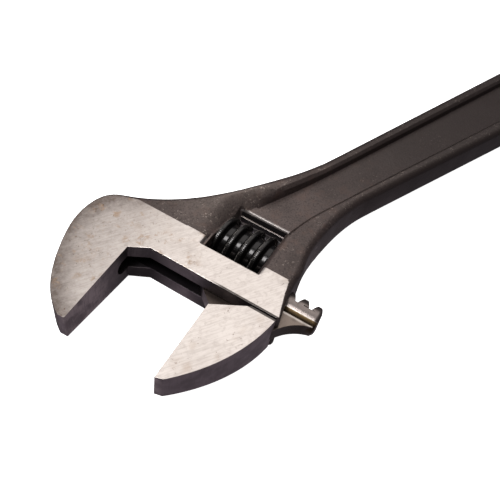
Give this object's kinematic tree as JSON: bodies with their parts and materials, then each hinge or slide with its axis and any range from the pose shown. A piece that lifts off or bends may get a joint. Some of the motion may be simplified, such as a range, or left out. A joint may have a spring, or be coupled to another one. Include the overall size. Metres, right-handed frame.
{
  "type": "adjustable wrench",
  "caption": "Adjustable wrench with a forged handle, a fixed jaw and a sliding jaw that a worm moves along a toothed rail to grip nuts",
  "frame": {"origin": "the middle of the hang hole, half way through its thickness", "axes": "+X runs along the handle towards the jaws, +Z is square to the flat faces and up when the wrench lies on a table, +Y is towards the movable jaw's side"},
  "size_m": [0.2066, 0.0549, 0.0132],
  "materials": {
    "forged_steel": "phosphated forging, ground bright on the head's faces",
    "ground_steel": "ground",
    "worm_steel": "blackened and oiled",
    "pin_steel": "blackened",
    "spring_steel": "bright wire"
  },
  "bodies": {
    "body": {"frame": "forged_steel", "worm_pin": "pin_steel", "worm_spring": "spring_steel"},
    "jaw": {"movable_jaw": "ground_steel"},
    "screw": {"worm": "worm_steel"}
  },
  "joints": [
    {"name": "jaw_slide", "type": "slide", "parent": "body", "child": "jaw", "axis": [-0.3827, 0.9239, 0], "range_m": [-0.02295, 0.002]},
    {"name": "worm_spin", "type": "hinge", "parent": "body", "child": "screw", "pos_m": [0.14896, 0.00263, 0], "axis": [-0.3827, 0.9239, 0], "range_deg": [-2362, 207]}
  ],
  "couplings": [
    {"joint": "worm_spin", "follows": "jaw_slide", "rad_per_m": 1795.2}
  ]
}
